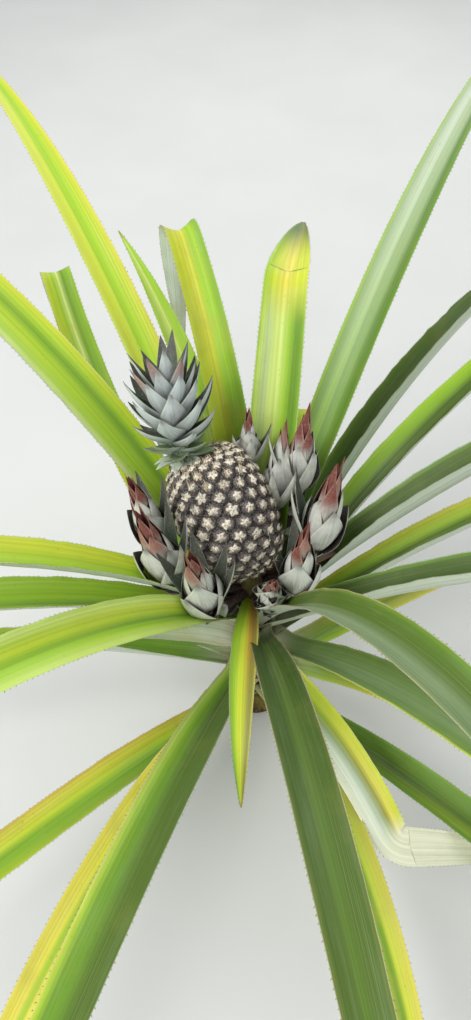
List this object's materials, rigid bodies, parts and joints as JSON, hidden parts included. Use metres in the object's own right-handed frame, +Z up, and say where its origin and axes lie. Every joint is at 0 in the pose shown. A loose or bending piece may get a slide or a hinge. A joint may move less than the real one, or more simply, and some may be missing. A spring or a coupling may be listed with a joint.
{
  "type": "pineapple plant",
  "caption": "Pineapple plant: long arching channelled leaves round a short stem, a dark unripe fruit with its leafy crown on a leaning stalk, and a ring of small shoots round the fruit.",
  "frame": {"origin": "middle of the flat cut under the stem, at ground level", "axes": "+Z up along the foot of the stem, -Y towards the side seen in the picture, +X to that view's right"},
  "size_m": [1.6918, 1.5097, 0.707],
  "materials": {
    "stem": "matte, fibrous",
    "fruit_stalk": "matte",
    "fruit": "satin, bumpy",
    "crown": "satin",
    "slip": "satin",
    "leaf_sunlit": "satin",
    "leaf_shaded": "satin",
    "leaf_aged": "satin",
    "leaf_underside": "matte"
  },
  "bodies": {
    "root": {"stem": "stem", "fruit_stalk": "fruit_stalk", "fruit": "fruit", "crown": "crown", "stalk_leaf_1": "leaf_sunlit", "stalk_leaf_2": "leaf_shaded", "stalk_leaf_3": "leaf_shaded", "leaf_left_2": "leaf_sunlit", "leaf_left_4": "leaf_sunlit", "leaf_left_1": "leaf_sunlit", "leaf_back_1": "leaf_aged", "leaf_back_1_end": "leaf_aged", "leaf_right_1": "leaf_shaded", "leaf_back_3": "leaf_sunlit", "leaf_front_1": "leaf_shaded", "leaf_left_3": "leaf_sunlit", "leaf_right_4": "leaf_shaded", "leaf_back_2": "leaf_sunlit", "leaf_back_2_end": "leaf_sunlit", "leaf_front_2": "leaf_shaded", "leaf_right_2": "leaf_shaded", "leaf_back_4": "leaf_sunlit", "leaf_right_6": "leaf_shaded", "leaf_back_5": "leaf_aged", "leaf_back_5_end": "leaf_aged", "leaf_right_3": "leaf_shaded", "leaf_right_7": "leaf_shaded", "leaf_right_5": "leaf_shaded", "leaf_front_3": "leaf_shaded", "leaf_front_4": "leaf_shaded", "leaf_front_4_end": "leaf_underside", "leaf_back_6": "leaf_aged", "leaf_back_6_end": "leaf_aged", "leaf_left_5": "leaf_sunlit", "leaf_front_6": "leaf_aged", "leaf_front_5": "leaf_aged", "leaf_right_8": "leaf_shaded", "leaf_front_7": "leaf_aged", "leaf_low_1": "leaf_aged", "leaf_low_2": "leaf_aged", "leaf_low_3": "leaf_aged", "leaf_low_4": "leaf_aged", "leaf_low_5": "leaf_aged", "leaf_low_6": "leaf_aged", "leaf_low_7": "leaf_aged", "slip_1": "slip", "slip_2": "slip", "slip_3": "slip", "slip_4": "slip", "slip_5": "slip", "slip_6": "slip", "slip_7": "slip", "slip_8": "slip", "slip_9": "slip"}
  },
  "joints": []
}
